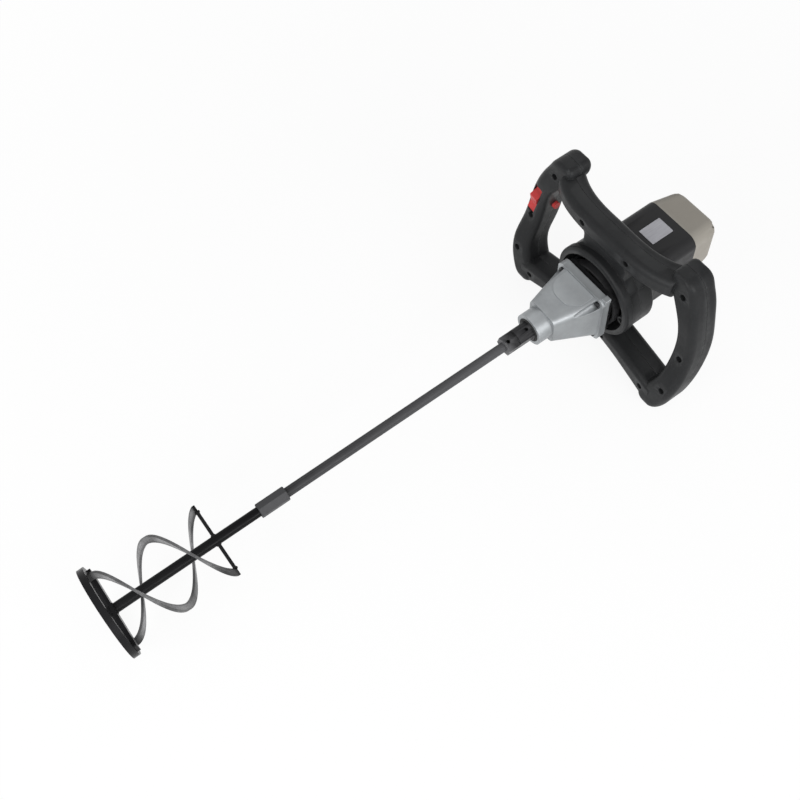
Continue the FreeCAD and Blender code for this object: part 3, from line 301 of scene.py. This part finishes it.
BLACK = moulded_plastic("black_moulding", (0.0145, 0.0150, 0.0158), (0.0190, 0.0197, 0.0206),
                        (0.038, 0.039, 0.040), 0.4, rounding=SHELL_ROUNDING)
MOTOR_BLACK = moulded_plastic("motor_moulding", (0.008, 0.008, 0.0088), (0.012, 0.012, 0.0128),
                              (0.024, 0.024, 0.025), 0.36)
GREY = moulded_plastic("grey_moulding", (0.295, 0.275, 0.242), (0.315, 0.294, 0.260),
                       (0.33, 0.31, 0.275), 0.5)
RED = moulded_plastic("red_moulding", (0.37, 0.015, 0.015), (0.42, 0.019, 0.018),
                      (0.48, 0.05, 0.05), 0.38, SMOOTH_GRAIN)
INNER = moulded_plastic("inner_moulding", grey(0.03), grey(0.05), grey(0.08), 0.55)
CARBON = moulded_plastic("carbon", grey(0.01), grey(0.025), grey(0.05), 0.5)
RUBBER = moulded_plastic("rubber", grey(0.008), grey(0.014), grey(0.03), 0.6)
CAST = cast_metal("cast_aluminium", (0.245, 0.257, 0.266), (0.305, 0.320, 0.330), 0.45)
PLATE = machined_metal("plate_aluminium", (0.29, 0.29, 0.315), (0.37, 0.37, 0.395), 0.4,
                       (0.05, 1, 1), 0.4)
STEEL = machined_metal("turned_steel", (0.28, 0.28, 0.29), (0.48, 0.48, 0.49), 0.28,
                       (3, 0.1, 0.1))
SCREW = machined_metal("black_screw", (0.012, 0.012, 0.013), (0.03, 0.03, 0.032), 0.35,
                       (1, 1, 1), 0.7)
BRASS = machined_metal("bronze", (0.33, 0.2, 0.08), (0.5, 0.32, 0.14), 0.33, (2, 0.2, 0.2))
COATED = coated_steel("black_lacquer", (0.0022, 0.0022, 0.0025), (0.0036, 0.0036, 0.004),
                      (0.014, 0.014, 0.015), 0.26, 0.06)
WORN = coated_steel("thin_lacquer", (0.020, 0.0205, 0.021), (0.034, 0.0345, 0.036),
                    (0.08, 0.08, 0.084), 0.46, 0.08)
SPINDLE = coated_steel("black_oxide", (0.010, 0.010, 0.011), (0.020, 0.020, 0.021),
                       (0.09, 0.09, 0.094), 0.34)
STRAP = rubbed_strap("rubbed_steel")
COPPER = wound_copper("enamelled_wire")
LAMINATED = laminated_steel("laminations")

LOOKS = [
    (BLACK, "front_shell rear_shell"),
    (MOTOR_BLACK, "motor_housing"),
    (GREY, "motor_cap"),
    (RED, "trigger lock_button"),
    (INNER, "switch_module cooling_fan"),
    (CAST, "gearbox_housing"),
    (PLATE, "rating_plate"),
    (STEEL, "output_gear idler_shaft idler_gear idler_pinion armature_shaft motor_pinion "
            "spindle_front_bearing spindle_rear_bearing armature_front_bearing "
            "armature_rear_bearing trigger_pin"),
    (SPINDLE, "output_spindle paddle_nut"),
    (WORN, "upper_rod hex_coupling"),
    (COATED, "lower_rod paddle_arm_a paddle_arm_b bottom_ring ring_cross_bar bearing_plate"),
    (STRAP, "paddle_blade_a paddle_blade_b"),
    (SCREW, "frame_screws gearbox_screws cap_screws"),
    (BRASS, "idler_front_bush idler_rear_bush commutator brush_holder_left brush_holder_right"),
    (CARBON, "carbon_brush_left carbon_brush_right"),
    (RUBBER, "nose_seal cord_inlet"),
    (COPPER, "field_coil_left field_coil_right"),
    (LAMINATED, "stator rotor_core"),
]


def dress():
    """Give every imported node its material."""
    for material, names in LOOKS:
        for name in names.split():
            NODES[name].data.materials.clear()
            NODES[name].data.materials.append(material)


def weld_tube(path, radius):
    """Vertices and faces of a weld bead: a tube along a path across X, rippled in pools."""
    points, faces = [], []
    sides = BEAD_SIDES
    last = len(path) - 1
    run = 0.0
    for i, point in enumerate(path):
        before, after = path[max(i - 1, 0)], path[min(i + 1, last)]
        run += (point - before).length
        outward = (after - before).normalized().cross(LENGTHWISE)
        taper = math.sqrt(max(BEAD_TIP, 1 - (2 * i / last - 1) ** BEAD_BLUNTNESS))
        pool = 1 - POOL_RIPPLE + POOL_RIPPLE * math.cos(2 * math.pi * run / POOL_PITCH)
        for k in range(sides):
            turn = 2 * math.pi * k / sides
            spoke = math.cos(turn) * LENGTHWISE + math.sin(turn) * outward
            points.append(point + radius * taper * pool * spoke)
    for i in range(last):
        for k in range(sides):
            a, b = i * sides + k, i * sides + (k + 1) % sides
            faces.append((a, b, b + sides, a + sides))
    faces.append(tuple(reversed(range(sides))))
    faces.append(tuple(range(last * sides, (last + 1) * sides)))
    return points, faces


def weld_beads():
    """Welds where the paddle's arms, straps and cross bar meet the rod and the ring."""
    rod_low, rod_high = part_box("lower_rod")
    axis = Vector((0, (rod_low.y + rod_high.y) / 2, (rod_low.z + rod_high.z) / 2))
    rod = (rod_high.y - rod_low.y) / 2
    beads = []

    def bead(size, x, radius, out, spread, steps):
        """A bead on an arc about the axis, to both sides of the direction out."""
        across = LENGTHWISE.cross(out)
        turns = [spread * (2 * i / steps - 1) for i in range(steps + 1)]
        centre = axis + x * LENGTHWISE
        path = [centre + radius * (math.cos(t) * out + math.sin(t) * across) for t in turns]
        beads.append(weld_tube(path, size))

    def spots(name):
        return [vertex.co - axis for vertex in NODES[name].data.vertices]

    bar_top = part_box("ring_cross_bar")[1].x
    bead(ROD_BEAD, bar_top, rod, Vector((0, 0, 1)), math.pi, ROD_STEPS)
    for name in ("paddle_arm_a", "paddle_arm_b"):
        arm = spots(name)
        out = sum((Vector((0, p.y, p.z)) for p in arm), Vector()).normalized()
        half = max(p.dot(LENGTHWISE.cross(out)) for p in arm)
        reach = max(p.dot(out) for p in arm)
        root = math.asin(min(ROOT_LIMIT, half / rod))
        for x in (min(p.x for p in arm), max(p.x for p in arm)):
            bead(ARM_ROOT_BEAD, x, rod, out, root, ARM_STEPS)
            bead(ARM_END_BEAD, x, reach, out, half / reach, ARM_STEPS)
    ring_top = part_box("bottom_ring")[1].x
    for name in ("paddle_blade_a", "paddle_blade_b"):
        near = [p for p in spots(name) if abs(p.x - ring_top) < FOOT_DEPTH]
        foot = [Vector((0, p.y, p.z)) for p in near]
        rim = max(p.length for p in foot)
        out = sum((p for p in foot if p.length > rim - RIM_DEPTH), Vector()).normalized()
        bead(FOOT_BEAD, ring_top, rim, out, FOOT_SPREAD, FOOT_STEPS)

    points, faces = [], []
    for bead_points, bead_faces in beads:
        faces.extend(tuple(k + len(points) for k in face) for face in bead_faces)
        points.extend(bead_points)
    mesh = bpy.data.meshes.new("weld_beads")
    mesh.from_pydata(points, [], faces)
    mesh.polygons.foreach_set("use_smooth", [True] * len(mesh.polygons))
    mesh.materials.append(COATED)
    piece = bpy.data.objects.new("weld_beads", mesh)
    SCENE.collection.objects.link(piece)
    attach(piece, "paddle")


def backdrop_rays(tree):
    """A value that is 1 for rays that show the backdrop: seen, mirrored or through glass."""
    rays = tree.nodes.new("ShaderNodeLightPath")
    seen = rays.outputs["Is Camera Ray"]
    for other in ("Is Glossy Ray", "Is Transmission Ray"):
        either = tree.nodes.new("ShaderNodeMath")
        either.operation = "MAXIMUM"
        tree.links.new(seen, either.inputs[0])
        tree.links.new(rays.outputs[other], either.inputs[1])
        seen = either.outputs[0]
    return seen


def surround():
    """A white surround that lights the tool at a lower level than it shows."""
    world = bpy.data.worlds.new("studio")
    SCENE.world = world
    world.use_nodes = True
    tree = world.node_tree
    level = tree.nodes.new("ShaderNodeMapRange")
    level.inputs["To Min"].default_value = AMBIENT
    level.inputs["To Max"].default_value = WHITE
    tree.links.new(backdrop_rays(tree), level.inputs["Value"])
    background = tree.nodes["Background"]
    tree.links.new(level.outputs["Result"], background.inputs["Strength"])
    background.inputs["Color"].default_value = (1, 1, 1, 1)


def paper():
    """White paper that keeps the tool's shadow and turns plain white with distance."""
    s = Shader("floor_paper")
    tone = s.ramp(s.noise(3, 2), grey(0.965), grey(0.975))
    s.bump([(s.noise(500, 3), 0.00005)])
    s.set(Base_Color=tone, Roughness=0.95, Specular_IOR_Level=0.0)
    distance = s.node("ShaderNodeVectorMath", operation="LENGTH")
    s.link(s.place, distance.inputs[0])
    glow = s.span(distance.outputs["Value"], PAPER_GLOW, WHITE, *PAPER_FADE)
    white = s.node("ShaderNodeEmission")
    blend = s.node("ShaderNodeMixShader")
    s.link(s.combine("MULTIPLY", backdrop_rays(s.tree), glow), blend.inputs["Fac"])
    s.link(s.bsdf.outputs["BSDF"], blend.inputs[1])
    s.link(white.outputs["Emission"], blend.inputs[2])
    s.link(blend.outputs["Shader"], s.tree.nodes["Material Output"].inputs["Surface"])
    return s.material


def lay_floor():
    """A floor under the bottom ring and the lower edge of the frame, where the tool rests."""
    ring_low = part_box("bottom_ring")[0]
    frame_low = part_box("front_shell")[0]
    slope = math.atan2(frame_low.z - ring_low.z, FRAME_REST_X - ring_low.x)
    corners = [(FLOOR_HALF * x, FLOOR_HALF * y, 0) for x, y in ((-1, -1), (1, -1), (1, 1), (-1, 1))]
    mesh = bpy.data.meshes.new("floor")
    mesh.from_pydata(corners, [], [(0, 1, 2, 3)])
    mesh.materials.append(paper())
    floor = bpy.data.objects.new("floor", mesh)
    floor.matrix_world = (Matrix.Translation((FRAME_REST_X, 0, frame_low.z - FLOOR_GAP))
                          @ Matrix.Rotation(-slope, 4, "Y"))
    SCENE.collection.objects.link(floor)


def hang_lamps():
    """Large soft lamps about the tool."""
    for name, place, size, power in LAMPS:
        lamp = bpy.data.lights.new(name, "AREA")
        lamp.size = size
        lamp.energy = power
        holder = bpy.data.objects.new(name, lamp)
        holder.location = place
        holder.rotation_euler = (LAMP_AIM - Vector(place)).to_track_quat("-Z", "Y").to_euler()
        SCENE.collection.objects.link(holder)


def set_camera():
    """The photograph's view, fitted to its points for a lens that was picked from several."""
    data = bpy.data.cameras.new("camera")
    data.sensor_width = SENSOR_WIDTH
    data.lens = LENS
    data.clip_end = CLIP_END
    holder = bpy.data.objects.new("camera", data)
    axes = Matrix((CAMERA_RIGHT, CAMERA_UP, CAMERA_RIGHT.cross(CAMERA_UP)))
    holder.matrix_world = Matrix.Translation(CAMERA_PLACE) @ axes.transposed().to_4x4()
    SCENE.collection.objects.link(holder)
    SCENE.camera = holder


dress()
weld_beads()
surround()
lay_floor()
hang_lamps()
set_camera()
